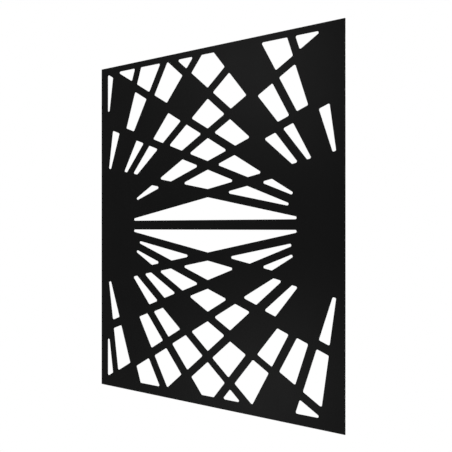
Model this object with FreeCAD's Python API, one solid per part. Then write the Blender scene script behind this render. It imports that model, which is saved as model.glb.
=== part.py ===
import FreeCAD, Part
import math
import os

# Decorative screen panel: one thin cut sheet, carried from behind on four standoffs.
# X runs to the right, Z up, and the face looks towards -Y. The origin lies where the
# axis between the two fans crosses the level bar, on the plane behind the standoffs.

# Sheet
PANEL_WIDTH = 950.0
PANEL_HEIGHT = 1200.0
SHEET_THICKNESS = 1.5
SHEET_CORNER_RADIUS = 2.0

# Ribs: two fans of rays spread from poles just outside the left and right edges
RIB_WIDTH = 27.0
BAR_WIDTH = 32.5
FIRST_RAY_DEG = 12.0
RAY_STEP_DEG = 10.0
RAY_COUNT = 8
POLE_OUTSET = 10.6

# Place of the pattern's centre from the sheet's centre, and the plain strips that a centred
# pattern would leave at the sides and at the two ends
PATTERN_RIGHT = 5.0
PATTERN_UP = 5.8
SIDE_MARGIN = 27.3
END_MARGIN = 28.0

# Radius left in every corner of a cut-out, and the shortest side worth cutting
CUTTER_RADIUS = 4.5
SHORTEST_SIDE = 0.05

# Cut-outs, as wedge of the left fan to wedges of the right fan. Wedge 0 lies between the
# bar and the first rib, wedge 1 between the first and second ribs, and so on.
UPPER_CUTS = {
    0: (0, 1, 2),
    1: (1, 2, 4, 5, 7),
    2: (0, 1, 2, 3, 5, 6),
    3: (2, 3, 4, 6, 7),
    4: (1, 2, 4),
    5: (1, 3, 4),
    6: (2, 3),
    7: (1, 3),
    8: (2,),
}
LOWER_CUTS = {
    0: (0, 1, 2),
    1: (0, 1, 3, 4, 7),
    2: (0, 1, 2, 3, 5, 6, 7),
    3: (1, 3, 4, 5, 7),
    4: (1, 2, 3, 4, 5),
    5: (2, 3),
    6: (3,),
    7: (1, 2),
    8: (2,),
}

# Cut-outs that stand off their place in the lattice, by the same two wedges: how far to the
# right, how far up, and how much further than the others they keep from the ribs around them
IN_PLACE = (0.0, 0.0, 0.0)
UPPER_STRAYS = {(3, 6): (1.5, 0.0, 0.0)}
LOWER_STRAYS = {
    (0, 1): (9.0, 0.0, 0.0),
    (1, 3): (0.0, 4.5, 0.0),
    (2, 5): (-2.0, -3.0, 0.0),
    (2, 7): (1.5, -1.5, 0.0),
    (3, 1): (1.5, 1.5, 0.0),
    (3, 4): (-2.5, -2.0, 0.0),
    (4, 2): (0.5, -1.0, 1.5),
    (5, 3): (-1.5, -1.0, 2.0),
    (6, 3): (-2.0, 0.0, 0.0),
    (7, 2): (0.5, -4.0, 0.0),
}

# Weld studs
THREAD_DIAMETER = 6.0
STUD_LENGTH = 9.0

# Hexagon standoffs, tapped from both ends with a web left between the holes
STANDOFF_FLATS = 10.0
STANDOFF_LENGTH = 25.0
STANDOFF_WEB = 3.0
STUD_RUNOUT = 1.0
THREAD_CLEARANCE = 0.05
TAPPED_DIAMETER = 5.0

# Wedges whose crossing is left uncut on both sides, above and below: the standoffs hide there
FIXING_STEEP_WEDGE = 6
FIXING_SHALLOW_WEDGE = 1

# Planes and places that follow from the sizes above
SHEET_BACK_Y = -STANDOFF_LENGTH
SHEET_FRONT_Y = SHEET_BACK_Y - SHEET_THICKNESS
SHEET_LEFT_X = -PANEL_WIDTH / 2 - PATTERN_RIGHT
SHEET_RIGHT_X = PANEL_WIDTH / 2 - PATTERN_RIGHT
SHEET_BOTTOM_Z = -PANEL_HEIGHT / 2 - PATTERN_UP
SHEET_TOP_Z = PANEL_HEIGHT / 2 - PATTERN_UP
POLE_X = PANEL_WIDTH / 2 + POLE_OUTSET
POLE_Z = (BAR_WIDTH - RIB_WIDTH) / 2
BACKWARDS = FreeCAD.Vector(0, 1, 0)


def at(x, z, y=0.0):
    return FreeCAD.Vector(x, y, z)


def rectangle(left, right, bottom, top):
    """Corners in turn, so that the inside lies to the left of each side."""
    return [at(left, bottom), at(right, bottom), at(right, top), at(left, top)]


def clip(points, outward, limit):
    """The part of a convex outline that lies no further than limit along outward."""
    kept = []
    for start, end in zip(points, points[1:] + points[:1]):
        start_over = start.dot(outward) - limit
        end_over = end.dot(outward) - limit
        if start_over <= 0:
            kept.append(start)
        if start_over * end_over < 0:
            kept.append(start + (end - start) * (start_over / (start_over - end_over)))
    return kept


def rib_normal(rib, lean):
    """Upward normal of a rib; lean is 1 in the left fan and -1 in the right one."""
    angle = math.radians(FIRST_RAY_DEG + (rib - 1) * RAY_STEP_DEG)
    return at(-lean * math.sin(angle), math.cos(angle))


def cutter_path(left_wedge, right_wedge, clearance):
    """Path of the cutter's centre, a clearance inside one cell of the lattice above the bar."""
    reach = PANEL_WIDTH / 2 - SIDE_MARGIN - clearance
    ceiling = PANEL_HEIGHT / 2 - END_MARGIN - clearance
    points = rectangle(-reach, reach, BAR_WIDTH / 2 + clearance, ceiling)
    for wedge, lean in ((left_wedge, 1), (right_wedge, -1)):
        pole = at(-lean * POLE_X, POLE_Z)
        for rib, side in ((wedge, -1), (wedge + 1, 1)):
            if 1 <= rib <= RAY_COUNT:
                outward = rib_normal(rib, lean) * side
                limit = pole.dot(outward) - RIB_WIDTH / 2 - clearance
                points = clip(points, outward, limit)
    return points


def outline(path, radius):
    """Wire at a radius outside a path: its sides moved out and joined by arcs."""
    turns = zip(path, path[1:] + path[:1])
    corners = [start for start, end in turns if start.distanceToPoint(end) > SHORTEST_SIDE]
    outwards = []
    for start, end in zip(corners, corners[1:] + corners[:1]):
        along = (end - start).normalize()
        outwards.append(at(along.z, -along.x))
    edges = []
    for index, corner in enumerate(corners):
        before = outwards[index - 1]
        after = outwards[index]
        middle = (before + after).normalize()
        arc = Part.Arc(corner + before * radius, corner + middle * radius, corner + after * radius)
        following = corners[(index + 1) % len(corners)]
        edges.append(arc.toShape())
        edges.append(Part.LineSegment(corner + after * radius, following + after * radius).toShape())
    return Part.Wire(edges)


def cut_outs():
    """Wires of all the cut-outs; a wedge pair too tight for the cutter stays closed."""
    wires = []
    for cuts, strays, upward in ((UPPER_CUTS, UPPER_STRAYS, 1), (LOWER_CUTS, LOWER_STRAYS, -1)):
        for left_wedge, right_wedges in cuts.items():
            for right_wedge in right_wedges:
                right, up, inset = strays.get((left_wedge, right_wedge), IN_PLACE)
                path = cutter_path(left_wedge, right_wedge, CUTTER_RADIUS + inset)
                if upward < 0:
                    path = [at(point.x, -point.z) for point in reversed(path)]
                if len(path) > 2:
                    path = [point + at(right, up) for point in path]
                    wires.append(outline(path, CUTTER_RADIUS))
    return wires


def screen_sheet():
    border = outline(
        rectangle(
            SHEET_LEFT_X + SHEET_CORNER_RADIUS,
            SHEET_RIGHT_X - SHEET_CORNER_RADIUS,
            SHEET_BOTTOM_Z + SHEET_CORNER_RADIUS,
            SHEET_TOP_Z - SHEET_CORNER_RADIUS,
        ),
        SHEET_CORNER_RADIUS,
    )
    face = Part.makeFace([border] + cut_outs(), "Part::FaceMakerBullseye")
    face.translate(at(0, 0, SHEET_FRONT_Y))
    return face.extrude(BACKWARDS * SHEET_THICKNESS).Solids[0]


def weld_stud():
    return Part.makeCylinder(THREAD_DIAMETER / 2, STUD_LENGTH, at(0, 0), BACKWARDS)


def standoff():
    """Hexagon bar with a hole for the stud in front and a tapped hole behind."""
    corner_radius = STANDOFF_FLATS / math.sqrt(3)
    turns = [math.radians(60 * side) for side in range(6)]
    corners = [at(corner_radius * math.sin(turn), corner_radius * math.cos(turn)) for turn in turns]
    bar = Part.Face(Part.makePolygon(corners + corners[:1])).extrude(BACKWARDS * STANDOFF_LENGTH)
    stud_hole_depth = STUD_LENGTH + STUD_RUNOUT
    stud_hole_radius = THREAD_DIAMETER / 2 + THREAD_CLEARANCE
    stud_hole = Part.makeCylinder(stud_hole_radius, stud_hole_depth, at(0, 0), BACKWARDS)
    tapped_depth = STANDOFF_LENGTH - stud_hole_depth - STANDOFF_WEB
    tapped_start = at(0, 0, STANDOFF_LENGTH - tapped_depth)
    tapped_hole = Part.makeCylinder(TAPPED_DIAMETER / 2, tapped_depth, tapped_start, BACKWARDS)
    return bar.cut([stud_hole, tapped_hole]).Solids[0]


def fixing_places():
    """Centres of the four standoffs, behind the uncut crossings of the two wedges."""
    wedge_middles = [
        math.radians(FIRST_RAY_DEG + (wedge - 0.5) * RAY_STEP_DEG)
        for wedge in (FIXING_STEEP_WEDGE, FIXING_SHALLOW_WEDGE)
    ]
    steep_run, shallow_run = [1 / math.tan(angle) for angle in wedge_middles]
    height = 2 * POLE_X / (steep_run + shallow_run)
    column_x = POLE_X - height * steep_run
    row_z = POLE_Z + height
    print(f"standoffs at x = +/-{column_x:.4f}, z = +/-{row_z:.4f}")
    rows = {"upper": row_z, "lower": -row_z}
    columns = {"left": -column_x, "right": column_x}
    return {f"{row}_{side}": (x, z) for row, z in rows.items() for side, x in columns.items()}


os.makedirs("parts", exist_ok=True)
screen_sheet().exportStep("parts/screen_sheet.step")
for place, (place_x, place_z) in fixing_places().items():
    for piece_name, make_piece in (("weld_stud", weld_stud), ("standoff", standoff)):
        piece = make_piece()
        piece.translate(at(place_x, place_z, SHEET_BACK_Y))
        piece.exportStep(f"parts/{piece_name}_{place}.step")
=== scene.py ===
import math

import bpy
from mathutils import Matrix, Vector


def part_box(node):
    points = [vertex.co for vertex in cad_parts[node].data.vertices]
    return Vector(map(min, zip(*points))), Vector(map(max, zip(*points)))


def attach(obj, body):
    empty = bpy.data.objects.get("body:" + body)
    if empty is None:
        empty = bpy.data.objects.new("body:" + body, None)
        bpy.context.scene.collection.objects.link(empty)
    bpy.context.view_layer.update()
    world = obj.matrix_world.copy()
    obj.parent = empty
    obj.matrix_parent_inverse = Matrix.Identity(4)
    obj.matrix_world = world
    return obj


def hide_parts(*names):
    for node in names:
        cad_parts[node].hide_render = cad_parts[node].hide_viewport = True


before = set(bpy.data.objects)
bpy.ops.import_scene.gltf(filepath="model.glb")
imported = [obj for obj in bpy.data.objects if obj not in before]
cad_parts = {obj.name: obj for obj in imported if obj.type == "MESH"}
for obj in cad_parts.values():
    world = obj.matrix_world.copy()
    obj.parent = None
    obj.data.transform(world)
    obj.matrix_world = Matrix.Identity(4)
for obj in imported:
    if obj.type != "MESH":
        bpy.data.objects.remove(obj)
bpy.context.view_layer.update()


# Screen sheet: one flat 1.5 mm steel sheet with the rayed lattice cut through it by laser.
# After cutting, its rims are broken and it is powder coated satin black on both sides, so
# that the coat runs round every rim in a small radius. Nothing is fixed to its face.
RIM_RADIUS = 0.00035
RIM_STEPS = 3
SHARP_RIM = math.radians(40)
FLAT_WITHIN = math.radians(0.2)
MERGE_DISTANCE = 1e-6
COAT_BLACK = (0.0021, 0.0021, 0.0021, 1)
COAT_BLACK_THIN = (0.0029, 0.0029, 0.0029, 1)
COAT_SPECULAR = 0.022
COAT_ROUGHNESS = 0.44
COAT_ROUGHNESS_SWING = 0.08
CLOUD_PITCH = 0.12
PEEL_PITCH = 0.002
PEEL_HEIGHT = 0.00009
GRAIN_PITCH = 0.0005
GRAIN_HEIGHT = 0.000012
ALONG_CUT = (1, 0, 1)
CUT_MARK_PITCH = 0.0004
CUT_MARK_HEIGHT = 0.00002
NOISE_MIDDLE = 0.5
NOISE_DETAIL = 2.0
# A Mix node's sockets for colours, by number, because its other kinds share their names
MIX_FIRST = 6
MIX_SECOND = 7
MIX_RESULT = 2


class Shade:
    """One socket of a shader tree. Sums written with it add their Math nodes."""

    def __init__(self, tree, socket=None):
        self.tree = tree
        self.socket = socket

    def node(self, kind, settings=None, inputs=None, output=0):
        """Adds a node: first its settings, then the values or links of its sockets."""
        made = self.tree.nodes.new(kind)
        for name, value in (settings or {}).items():
            setattr(made, name, value)
        for key, value in (inputs or {}).items():
            if isinstance(value, Shade):
                self.tree.links.new(value.socket, made.inputs[key])
            else:
                made.inputs[key].default_value = value
        return Shade(self.tree, made.outputs[output]) if made.outputs else None

    def maths(self, operation, *values):
        return self.node("ShaderNodeMath", {"operation": operation}, dict(enumerate(values)))

    def __add__(self, other):
        return self.maths("ADD", self, other)

    __radd__ = __add__

    def __sub__(self, other):
        return self.maths("SUBTRACT", self, other)

    def __rsub__(self, other):
        return self.maths("SUBTRACT", other, self)

    def __mul__(self, other):
        return self.maths("MULTIPLY", self, other)

    __rmul__ = __mul__

    def __abs__(self):
        return self.maths("ABSOLUTE", self)


def new_finish(name):
    """An empty material and the Shade that adds nodes to it."""
    material = bpy.data.materials.new(name)
    material.use_nodes = True
    material.node_tree.nodes.clear()
    return material, Shade(material.node_tree)


def noise(shade, vector, pitch):
    """Noise whose lumps are about one pitch apart, from 0 to 1."""
    inputs = {"Vector": vector, "Scale": 1 / pitch, "Detail": NOISE_DETAIL}
    return shade.node("ShaderNodeTexNoise", {}, inputs)


def mix_colour(shade, factor, first, second):
    """The first colour where the factor is 0, and the second where it is 1."""
    inputs = {"Factor": factor, MIX_FIRST: first, MIX_SECOND: second}
    return shade.node("ShaderNodeMix", {"data_type": "RGBA"}, inputs, MIX_RESULT)


def part_along(shade, vector, axis):
    """The X, Y or Z of a vector."""
    return shade.node("ShaderNodeSeparateXYZ", {}, {"Vector": vector}, axis)


def stretched(shade, vector, factors):
    """A vector whose X, Y and Z are each multiplied by a factor of its own."""
    return shade.node("ShaderNodeVectorMath", {"operation": "MULTIPLY"}, {0: vector, 1: factors})


def bumped(shade, height):
    """Normals tilted by a height in metres."""
    return shade.node("ShaderNodeBump", {}, {"Height": height, "Distance": 1.0})


def surface(shade, inputs):
    """Ends a tree with a Principled surface."""
    shader = shade.node("ShaderNodeBsdfPrincipled", {}, inputs)
    shade.node("ShaderNodeOutputMaterial", {}, {"Surface": shader})


def satin_black_coat():
    """Cloudy powder coat with an orange peel and a fine grain, thinner over the cut rims."""
    material, coat = new_finish("satin_black_coat")
    place = coat.node("ShaderNodeTexCoord", output="Object")
    normal = coat.node("ShaderNodeTexCoord", output="Normal")
    on_rim = 1 - abs(part_along(coat, normal, "Y"))
    cloud = noise(coat, place, CLOUD_PITCH)
    thinness = cloud + on_rim * (1 - cloud)
    cut_marks = noise(coat, stretched(coat, place, ALONG_CUT), CUT_MARK_PITCH) * on_rim
    peel = noise(coat, place, PEEL_PITCH)
    grain = noise(coat, place, GRAIN_PITCH)
    height = peel * PEEL_HEIGHT + grain * GRAIN_HEIGHT + cut_marks * CUT_MARK_HEIGHT
    surface(
        coat,
        {
            "Base Color": mix_colour(coat, thinness, COAT_BLACK, COAT_BLACK_THIN),
            "Roughness": COAT_ROUGHNESS + (cloud - NOISE_MIDDLE) * COAT_ROUGHNESS_SWING,
            "Specular IOR Level": COAT_SPECULAR,
            "Normal": bumped(coat, height),
        },
    )
    return material


def deselect_all():
    bpy.ops.object.select_all(action="DESELECT")


def choose(piece):
    """Makes a piece the only selected object, and the active one."""
    deselect_all()
    piece.select_set(True)
    bpy.context.view_layer.objects.active = piece


def apply_modifier(piece, kind, **settings):
    """Adds a modifier with its settings and applies it at once."""
    choose(piece)
    modifier = piece.modifiers.new(kind.lower(), kind)
    for name, value in settings.items():
        setattr(modifier, name, value)
    bpy.ops.object.modifier_apply(modifier=modifier.name)


def finish_piece(piece, node, material):
    """The piece gets its material, stands for a CAD node and rides on the one body."""
    piece.data.materials.clear()
    piece.data.materials.append(material)
    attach(piece, "root")
    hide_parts(node)


# The solid's triangles are merged into whole flat faces before the rims are rounded, and the
# two large faces are cut into well-shaped triangles afterwards.
sheet_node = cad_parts["screen_sheet"]
sheet = bpy.data.objects.new("coated_screen_sheet", sheet_node.data.copy())
bpy.context.scene.collection.objects.link(sheet)
choose(sheet)
bpy.ops.object.mode_set(mode="EDIT")
bpy.ops.mesh.select_all(action="SELECT")
bpy.ops.mesh.remove_doubles(threshold=MERGE_DISTANCE)
bpy.ops.mesh.dissolve_limited(angle_limit=FLAT_WITHIN)
bpy.ops.object.mode_set(mode="OBJECT")
apply_modifier(
    sheet,
    "BEVEL",
    width=RIM_RADIUS,
    segments=RIM_STEPS,
    limit_method="ANGLE",
    angle_limit=SHARP_RIM,
    use_clamp_overlap=False,
    loop_slide=False,
    face_strength_mode="FSTR_ALL",
)
for polygon in sheet.data.polygons:
    polygon.select = abs(polygon.normal.y) > math.cos(FLAT_WITHIN)
bpy.ops.object.mode_set(mode="EDIT")
bpy.ops.mesh.select_mode(type="FACE")
bpy.ops.mesh.quads_convert_to_tris(ngon_method="BEAUTY")
bpy.ops.mesh.beautify_fill()
bpy.ops.mesh.select_mode(type="VERT")
bpy.ops.object.mode_set(mode="OBJECT")
bpy.ops.object.shade_smooth()
apply_modifier(sheet, "WEIGHTED_NORMAL", use_face_influence=True)
finish_piece(sheet, "screen_sheet", satin_black_coat())


# Weld studs: four steel studs with rolled M6 threads and a thin copper flash, welded to the
# sheet's bare back before it is coated. A low collar of weld metal runs round each root, and
# the tip is chamfered so that the standoff starts on it easily.
FIXING_PLACES = ("upper_left", "upper_right", "lower_left", "lower_right")
THREAD_PITCH = 0.001
THREAD_STEPS = 24
SPARE_TURNS = 2
ROUND_STEPS = 48
CUT_TOLERANCE = 1e-7
SMOOTH_BELOW = math.radians(35)
QUARTER_TURN = math.radians(90)
STUD_CREST_RADIUS = 0.00296
STUD_ROOT_RADIUS = 0.00239
STUD_CREST_FLAT = 0.000115
STUD_ROOT_FLAT = 0.000235
STUD_TIP_RADIUS = 0.0022
STUD_TIP_LENGTH = 0.0009
COLLAR_RADIUS = 0.0035
COLLAR_SHOULDER_RADIUS = 0.0033
COLLAR_SHOULDER = 0.0002
COLLAR_HEIGHT = 0.0005
OVERRUN = 0.001
COPPER_FLASH = (0.56, 0.33, 0.22, 1)
COPPER_DULL = (0.40, 0.24, 0.17, 1)
RUBBED_STEEL = (0.50, 0.48, 0.46, 1)
WELD_SCORCH = (0.11, 0.085, 0.075, 1)
FLASH_PATCH_PITCH = 0.0011
SCORCH_LENGTH = 0.0022
RUBBED_DEPTH = 0.00012
ROLLED_GRAIN_PITCH = 0.00012
ROLLED_GRAIN_HEIGHT = 0.0000015
STUD_ROUGHNESS = 0.32
SCORCH_ROUGHNESS = 0.3


def node_axis(node):
    """Where a CAD node's axis stands, seen from the front."""
    low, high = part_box(node)
    return (low.x + high.x) / 2, (low.z + high.z) / 2


def node_ends(node):
    """Front and back planes of a CAD node."""
    low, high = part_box(node)
    return low.y, high.y


def threaded_rod(front_y, back_y, root_radius, crest_radius, root_flat, crest_flat):
    """A rod along Y, threaded all the way and cut square at both ends, in step with the others."""
    flank = (THREAD_PITCH - root_flat - crest_flat) / 2
    half_root = root_flat / 2
    depth = crest_radius - root_radius
    first_turn = math.floor(front_y / THREAD_PITCH) - SPARE_TURNS
    turns = math.ceil(back_y / THREAD_PITCH) + SPARE_TURNS - first_turn
    profile = ((0, half_root), (depth, flank), (0, crest_flat), (-depth, flank), (0, half_root))
    deselect_all()
    bpy.ops.mesh.primitive_plane_add(size=THREAD_PITCH)
    rod = bpy.context.object
    bpy.ops.object.mode_set(mode="EDIT")
    bpy.ops.mesh.merge(type="CENTER")
    bpy.ops.transform.translate(value=(root_radius, first_turn * THREAD_PITCH, 0))
    for outwards, along in profile:
        bpy.ops.mesh.extrude_vertices_move(TRANSFORM_OT_translate={"value": (outwards, along, 0)})
    bpy.ops.object.mode_set(mode="OBJECT")
    apply_modifier(
        rod,
        "SCREW",
        axis="Y",
        screw_offset=THREAD_PITCH,
        iterations=turns,
        steps=THREAD_STEPS,
        render_steps=THREAD_STEPS,
    )
    bpy.ops.object.mode_set(mode="EDIT")
    bpy.ops.mesh.select_all(action="SELECT")
    bpy.ops.mesh.remove_doubles(threshold=MERGE_DISTANCE)
    for end_y, outwards in ((front_y, -1), (back_y, 1)):
        bpy.ops.mesh.select_all(action="SELECT")
        bpy.ops.mesh.bisect(
            plane_co=(0, end_y, 0),
            plane_no=(0, outwards, 0),
            use_fill=True,
            clear_outer=True,
            threshold=CUT_TOLERANCE,
        )
    bpy.ops.mesh.select_all(action="SELECT")
    bpy.ops.mesh.normals_make_consistent(inside=False)
    bpy.ops.object.mode_set(mode="OBJECT")
    return rod


def turned(stations):
    """A solid turned about the Y axis, through stations of place along it and radius."""
    (last_y, last_radius), *others = stations
    deselect_all()
    bpy.ops.mesh.primitive_circle_add(
        vertices=ROUND_STEPS,
        radius=last_radius,
        fill_type="NGON",
        location=(0, last_y, 0),
        rotation=(QUARTER_TURN, 0, 0),
    )
    solid = bpy.context.object
    bpy.ops.object.transform_apply(location=True, rotation=True, scale=True)
    bpy.ops.object.mode_set(mode="EDIT")
    bpy.ops.mesh.select_all(action="SELECT")
    for y, radius in others:
        bpy.ops.mesh.extrude_region_move(TRANSFORM_OT_translate={"value": (0, y - last_y, 0)})
        spread = radius / last_radius
        bpy.ops.transform.resize(value=(spread, 1, spread), center_override=(0, y, 0))
        last_y, last_radius = y, radius
    bpy.ops.mesh.select_all(action="SELECT")
    bpy.ops.mesh.normals_make_consistent(inside=False)
    bpy.ops.object.mode_set(mode="OBJECT")
    return solid


def combine(piece, operation, tool):
    """Joins, cuts or trims a piece with a tool, which is used up."""
    apply_modifier(piece, "BOOLEAN", operation=operation, object=tool, solver="EXACT")
    bpy.data.objects.remove(tool)


def put_in_place(model, name, node, material):
    """One copy of the model at each fixing place; the model itself is used up."""
    choose(model)
    bpy.ops.object.mode_set(mode="EDIT")
    bpy.ops.mesh.select_all(action="SELECT")
    bpy.ops.mesh.remove_doubles(threshold=MERGE_DISTANCE)
    bpy.ops.mesh.normals_make_consistent(inside=False)
    bpy.ops.object.mode_set(mode="OBJECT")
    bpy.ops.object.shade_smooth_by_angle(angle=SMOOTH_BELOW)
    for place in FIXING_PLACES:
        x, z = node_axis(f"{node}_{place}")
        copy = bpy.data.objects.new(f"{name}_{place}", model.data.copy())
        bpy.context.scene.collection.objects.link(copy)
        choose(copy)
        copy.location = (x, 0, z)
        bpy.ops.object.transform_apply(location=True, rotation=True, scale=True)
        finish_piece(copy, f"{node}_{place}", material)
    bpy.data.objects.remove(model)


stud_x, stud_z = node_axis("weld_stud_upper_right")
stud_root_y, stud_tip_y = node_ends("weld_stud_upper_right")


def length(shade, vector):
    return shade.node("ShaderNodeVectorMath", {"operation": "LENGTH"}, {0: vector}, "Value")


def radius_from_axis(shade, place):
    """Distance from the nearest stud's axis; the four lie alike to both sides, above and below."""
    x = part_along(shade, place, "X")
    z = part_along(shade, place, "Z")
    across = shade.node("ShaderNodeCombineXYZ", {}, {"X": abs(x) - stud_x, "Z": abs(z) - stud_z})
    return length(shade, across)


def ramp(shade, value, start, end):
    """0 up to the start, 1 from the end on, and a smooth climb between them."""
    return shade.node(
        "ShaderNodeMapRange",
        {"interpolation_type": "SMOOTHSTEP"},
        {"Value": value, "From Min": start, "From Max": end},
    )


def copper_flashed_steel():
    """Patchy copper flash, rubbed to steel on the crests and scorched towards the weld."""
    material, steel = new_finish("copper_flashed_steel")
    place = steel.node("ShaderNodeTexCoord", output="Object")
    along = part_along(steel, place, "Y")
    patches = noise(steel, place, FLASH_PATCH_PITCH)
    radius = radius_from_axis(steel, place)
    rubbed = ramp(steel, radius, STUD_CREST_RADIUS - RUBBED_DEPTH, STUD_CREST_RADIUS) * patches
    scorch_end = stud_root_y + SCORCH_LENGTH * (NOISE_MIDDLE + patches)
    scorched = 1 - ramp(steel, along, stud_root_y, scorch_end)
    flash = mix_colour(steel, patches, COPPER_FLASH, COPPER_DULL)
    worn_flash = mix_colour(steel, rubbed, flash, RUBBED_STEEL)
    grain = noise(steel, place, ROLLED_GRAIN_PITCH)
    surface(
        steel,
        {
            "Base Color": mix_colour(steel, scorched, worn_flash, WELD_SCORCH),
            "Metallic": 1.0,
            "Roughness": STUD_ROUGHNESS + scorched * SCORCH_ROUGHNESS,
            "Normal": bumped(steel, grain * ROLLED_GRAIN_HEIGHT),
        },
    )
    return material


stud = threaded_rod(
    stud_root_y + COLLAR_SHOULDER,
    stud_tip_y,
    STUD_ROOT_RADIUS,
    STUD_CREST_RADIUS,
    STUD_ROOT_FLAT,
    STUD_CREST_FLAT,
)
tip_slope = (STUD_CREST_RADIUS - STUD_TIP_RADIUS) / STUD_TIP_LENGTH
tip_blank = turned(
    [
        (stud_root_y - OVERRUN, STUD_CREST_RADIUS + OVERRUN),
        (stud_tip_y - STUD_TIP_LENGTH - OVERRUN / tip_slope, STUD_CREST_RADIUS + OVERRUN),
        (stud_tip_y + OVERRUN, STUD_TIP_RADIUS - OVERRUN * tip_slope),
    ]
)
combine(stud, "INTERSECT", tip_blank)
weld_collar = turned(
    [
        (stud_root_y, COLLAR_RADIUS),
        (stud_root_y + COLLAR_SHOULDER, COLLAR_SHOULDER_RADIUS),
        (stud_root_y + COLLAR_HEIGHT, STUD_ROOT_RADIUS),
    ]
)
combine(stud, "UNION", weld_collar)
put_in_place(stud, "threaded_stud", "weld_stud", copper_flashed_steel())


# Standoffs: four lengths of drawn aluminium hexagon bar, faced and chamfered at both ends and
# tapped M6 from both. Each is screwed along its stud until it meets the sheet, and takes a screw
# of the wall's rail in the blind hole behind.
BAR_SIDES = 6
BAR_FLATS = 0.010
BAR_EDGE_RADIUS = 0.00025
BAR_EDGE_STEPS = 3
END_RADIUS = 0.00475
END_CHAMFER_DEG = 30
HOLE_LAND_RADIUS = 0.00252
HOLE_GROOVE_RADIUS = 0.00303
HOLE_LAND_FLAT = 0.00019
HOLE_GROOVE_FLAT = 0.0002
DRILL_RADIUS = 0.00248
DRILL_POINT_DEG = 118
DRILL_WEB_RADIUS = 0.00005
STUD_HOLE_DEPTH = 0.0093
SCREW_HOLE_DEPTH = 0.0105
THREAD_RUNOUT = 0.0004
COUNTERSINK_RADIUS = 0.0037
BRIGHT_ALUMINIUM = (0.78, 0.79, 0.80, 1)
DULL_ALUMINIUM = (0.60, 0.61, 0.62, 1)
DRAW_LINE_PITCH = 0.00018
ALONG_BAR = (1, 0.015, 1)
TURNED_RING_PITCH = 0.00016
MARK_HEIGHT = 0.000004
HANDLING_PITCH = 0.004
BAR_ROUGHNESS = 0.26
BAR_ROUGHNESS_SWING = 0.2


def drawn_aluminium():
    """Bare metal with draw lines along the flats and turned rings on the ends."""
    material, metal = new_finish("drawn_aluminium")
    place = metal.node("ShaderNodeTexCoord", output="Object")
    normal = metal.node("ShaderNodeTexCoord", output="Normal")
    on_end = abs(part_along(metal, normal, "Y"))
    across_rings = metal.node("ShaderNodeCombineXYZ", {}, {"X": radius_from_axis(metal, place)})
    draw_lines = noise(metal, stretched(metal, place, ALONG_BAR), DRAW_LINE_PITCH)
    rings = noise(metal, across_rings, TURNED_RING_PITCH)
    marks = draw_lines * (1 - on_end) + rings * on_end
    handling = noise(metal, place, HANDLING_PITCH)
    surface(
        metal,
        {
            "Base Color": mix_colour(metal, marks, BRIGHT_ALUMINIUM, DULL_ALUMINIUM),
            "Metallic": 1.0,
            "Roughness": BAR_ROUGHNESS + handling * BAR_ROUGHNESS_SWING,
            "Normal": bumped(metal, marks * MARK_HEIGHT),
        },
    )
    return material


def bore(standoff, mouth_y, inwards, depth):
    """A drilled, countersunk and tapped hole from one end; inwards is the way in along Y."""
    point_length = DRILL_RADIUS / math.tan(math.radians(DRILL_POINT_DEG / 2))
    countersink_depth = COUNTERSINK_RADIUS - DRILL_RADIUS
    drill = turned(
        [
            (mouth_y - inwards * OVERRUN, DRILL_RADIUS),
            (mouth_y + inwards * depth, DRILL_RADIUS),
            (mouth_y + inwards * (depth + point_length), DRILL_WEB_RADIUS),
        ]
    )
    combine(standoff, "DIFFERENCE", drill)
    countersink = turned(
        [
            (mouth_y - inwards * OVERRUN, COUNTERSINK_RADIUS + OVERRUN),
            (mouth_y + inwards * countersink_depth, DRILL_RADIUS),
        ]
    )
    combine(standoff, "DIFFERENCE", countersink)
    tap_ends = sorted((mouth_y - inwards * OVERRUN, mouth_y + inwards * (depth - THREAD_RUNOUT)))
    tap = threaded_rod(
        *tap_ends, HOLE_LAND_RADIUS, HOLE_GROOVE_RADIUS, HOLE_LAND_FLAT, HOLE_GROOVE_FLAT
    )
    combine(standoff, "DIFFERENCE", tap)


bar_front_y, bar_back_y = node_ends("standoff_upper_right")
bar_corner_radius = BAR_FLATS / 2 / math.cos(math.pi / BAR_SIDES)
deselect_all()
bpy.ops.mesh.primitive_cylinder_add(
    vertices=BAR_SIDES,
    radius=bar_corner_radius,
    depth=bar_back_y - bar_front_y + 2 * OVERRUN,
    location=(0, (bar_front_y + bar_back_y) / 2, 0),
    rotation=(QUARTER_TURN, 0, 0),
)
standoff = bpy.context.object
bpy.ops.object.transform_apply(location=True, rotation=True, scale=True)
bpy.ops.object.mode_set(mode="EDIT")
bpy.ops.mesh.select_all(action="DESELECT")
bpy.ops.mesh.select_mode(type="EDGE")
bpy.ops.object.mode_set(mode="OBJECT")
# The edges that run along the bar are rounded
for edge in standoff.data.edges:
    start, end = [standoff.data.vertices[index].co for index in edge.vertices]
    edge.select = abs(start.y - end.y) > OVERRUN
bpy.ops.object.mode_set(mode="EDIT")
bpy.ops.mesh.bevel(offset=BAR_EDGE_RADIUS, segments=BAR_EDGE_STEPS)
bpy.ops.mesh.select_mode(type="VERT")
bpy.ops.object.mode_set(mode="OBJECT")
chamfer_width = bar_corner_radius + OVERRUN - END_RADIUS
chamfer_depth = chamfer_width * math.tan(math.radians(END_CHAMFER_DEG))
faced_blank = turned(
    [
        (bar_front_y, END_RADIUS),
        (bar_front_y + chamfer_depth, END_RADIUS + chamfer_width),
        (bar_back_y - chamfer_depth, END_RADIUS + chamfer_width),
        (bar_back_y, END_RADIUS),
    ]
)
combine(standoff, "INTERSECT", faced_blank)
bore(standoff, bar_front_y, 1, STUD_HOLE_DEPTH)
bore(standoff, bar_back_y, -1, SCREW_HOLE_DEPTH)
put_in_place(standoff, "hex_standoff", "standoff", drawn_aluminium())


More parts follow.
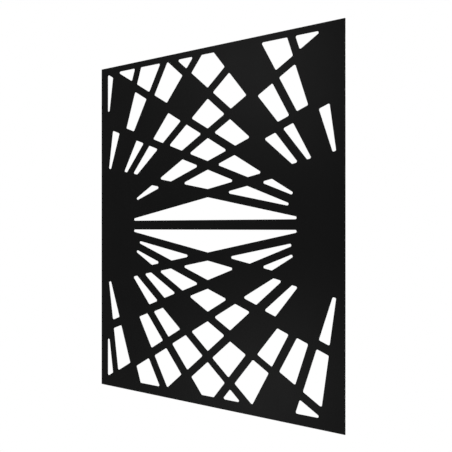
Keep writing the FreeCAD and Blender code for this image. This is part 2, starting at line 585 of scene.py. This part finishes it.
# Floor: the pale studio floor, well below the hung panel, which takes its soft shadow. Further
# out it runs into the white of the surroundings with no line.
FLOOR_Z = -1.7
FLOOR_RADIUS = 12.0
FLOOR_STEPS = 96
FLOOR_PALE = (0.9, 0.9, 0.9, 1)
IN_PLAN = (1, 1, 0)
WHITE_FROM = 0.9
WHITE_BEYOND = 2.0


def seen_directly(shade):
    """1 for what the camera sees, itself or in a mirror or through glass, and 0 for other light."""
    outputs = ("Is Camera Ray", "Is Glossy Ray", "Is Transmission Ray")
    camera, glossy, through = [shade.node("ShaderNodeLightPath", output=name) for name in outputs]
    return shade.maths("MAXIMUM", shade.maths("MAXIMUM", camera, glossy), through)


def mix_shaders(shade, factor, first, second):
    """The first shader where the factor is 0, and the second where it is 1."""
    return shade.node("ShaderNodeMixShader", {}, dict(enumerate((factor, first, second))))


def pale_floor():
    """Pale round the object's foot and white further out, with a soft change between."""
    material, shade = new_finish("pale_floor")
    place = shade.node("ShaderNodeTexCoord", output="Object")
    distance = length(shade, stretched(shade, place, IN_PLAN))
    far = ramp(shade, distance, WHITE_FROM, WHITE_BEYOND)
    near_shader = shade.node("ShaderNodeBsdfDiffuse", {}, {"Color": FLOOR_PALE})
    far_shader = shade.node("ShaderNodeEmission", {}, {"Strength": 1.0})
    mixed = mix_shaders(shade, far * seen_directly(shade), near_shader, far_shader)
    shade.node("ShaderNodeOutputMaterial", {}, {"Surface": mixed})
    return material


deselect_all()
bpy.ops.mesh.primitive_circle_add(
    vertices=FLOOR_STEPS, radius=FLOOR_RADIUS, fill_type="NGON", location=(0, 0, FLOOR_Z)
)
floor = bpy.context.object
floor.name = "studio_floor"
bpy.ops.object.transform_apply(location=True, rotation=True, scale=True)
floor.data.materials.append(pale_floor())


# Surroundings: a plain soft light from all round the object. Where the camera looks past the
# floor, itself or in the metal, they are white.
AMBIENT = (0.1, 0.1, 0.1, 1)
WHITE = (1, 1, 1, 1)

world = bpy.data.worlds.new("studio")
bpy.context.scene.world = world
world.use_nodes = True
world.node_tree.nodes.clear()
around = Shade(world.node_tree)
soft_light = around.node("ShaderNodeBackground", {}, {"Color": AMBIENT, "Strength": 1.0})
white_surround = around.node("ShaderNodeBackground", {}, {"Color": WHITE, "Strength": 1.0})
light = mix_shaders(around, seen_directly(around), soft_light, white_surround)
around.node("ShaderNodeOutputWorld", {}, {"Surface": light})


# Lamps: two soft boxes to the left of the camera, one high and one low, aimed at the middle of
# the sheet. They give the face its sheen towards the top and bottom edges. The same pair stands
# turned half round behind the sheet, for its back.
LAMP_TARGET = Vector((0, 0, 0))
LAMP_SIZE = 0.6
LAMP_POWER = 58
LAMP_PLACES = {
    "front_upper_softbox": (-0.98, -2.6, 1.32),
    "front_lower_softbox": (-0.98, -2.6, -1.32),
    "rear_upper_softbox": (0.98, 2.6, 1.32),
    "rear_lower_softbox": (0.98, 2.6, -1.32),
}

for lamp_name, lamp_place in LAMP_PLACES.items():
    aim = (LAMP_TARGET - Vector(lamp_place)).to_track_quat("-Z", "Y")
    bpy.ops.object.light_add(type="AREA", location=lamp_place, rotation=aim.to_euler())
    lamp = bpy.context.object
    lamp.name = lamp_name
    lamp.data.shape = "SQUARE"
    lamp.data.size = LAMP_SIZE
    lamp.data.energy = LAMP_POWER
    lamp.visible_camera = False


# Camera: level, at the height of the bar, in front of the panel and well to its right, so that
# the panel's left side falls away from it.
CAMERA_PLACE = (0.9221, -1.4683, -0.0091)
CAMERA_YAW_DEG = 30.54
CAMERA_LENS = 40.78
CAMERA_SENSOR = 36
CAMERA_RISE = 0.0035

bpy.ops.object.camera_add(
    location=CAMERA_PLACE, rotation=(QUARTER_TURN, 0, math.radians(CAMERA_YAW_DEG))
)
camera = bpy.context.object
camera.data.sensor_width = CAMERA_SENSOR
camera.data.lens = CAMERA_LENS
camera.data.shift_y = CAMERA_RISE
bpy.context.scene.camera = camera
bpy.context.scene.view_settings.view_transform = "Standard"
